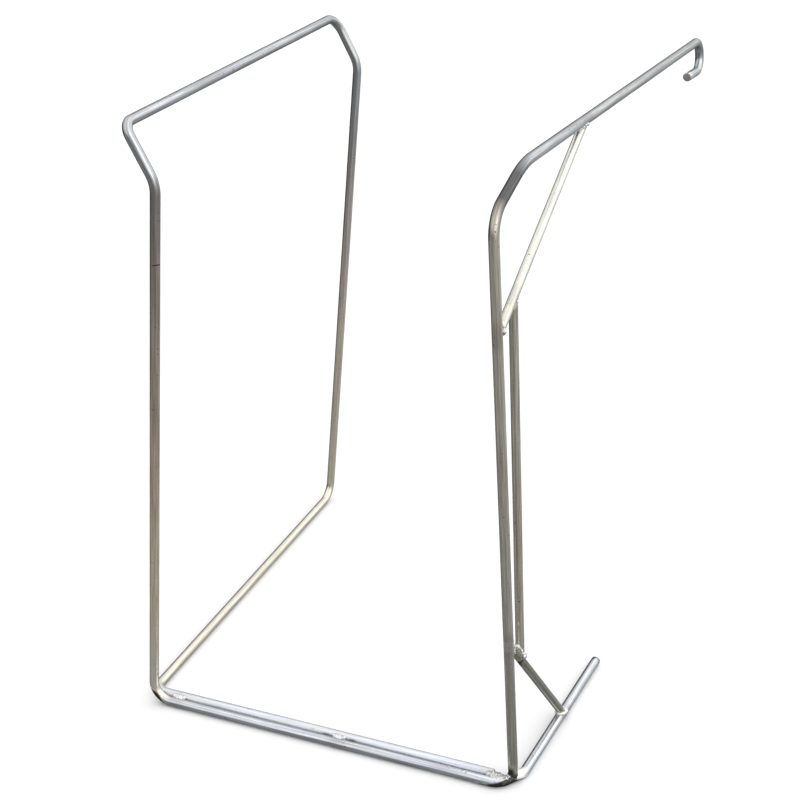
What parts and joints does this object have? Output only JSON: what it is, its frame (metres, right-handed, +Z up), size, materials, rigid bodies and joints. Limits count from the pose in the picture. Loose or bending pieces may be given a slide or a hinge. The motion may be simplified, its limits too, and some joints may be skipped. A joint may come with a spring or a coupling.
{
  "type": "beehive frame rest",
  "caption": "Welded bent-rod rest for hive frames: a closed side loop, a doubled bottom run, and a braced upright with a long arm that ends in a small hook.",
  "frame": {"origin": "on the floor, under the centre of the frame's overall width and depth", "axes": "+X along the bottom run from the side loop to the arm side, +Y along the side bars towards the hook, +Z up"},
  "size_m": [0.3492, 0.4948, 0.504],
  "materials": {
    "drawn_wire": "bright drawn wire with faint lengthwise draw lines",
    "brace_wire": "bright drawn thin wire",
    "weld_metal": "lumpy silvery weld metal with dark specks"
  },
  "bodies": {
    "root": {"side_loop_rod": "drawn_wire", "hook_arm_rod": "drawn_wire", "upper_brace": "brace_wire", "second_upright": "brace_wire", "lower_brace": "brace_wire", "weld_run_left": "weld_metal", "weld_run_middle": "weld_metal", "weld_run_right": "weld_metal", "weld_upright_foot": "weld_metal", "weld_upper_brace_arm": "weld_metal", "weld_upper_brace_upright": "weld_metal", "weld_second_upright_top": "weld_metal", "weld_second_upright_foot": "weld_metal", "weld_lower_brace_upright": "weld_metal", "weld_lower_brace_foot": "weld_metal"}
  },
  "joints": []
}
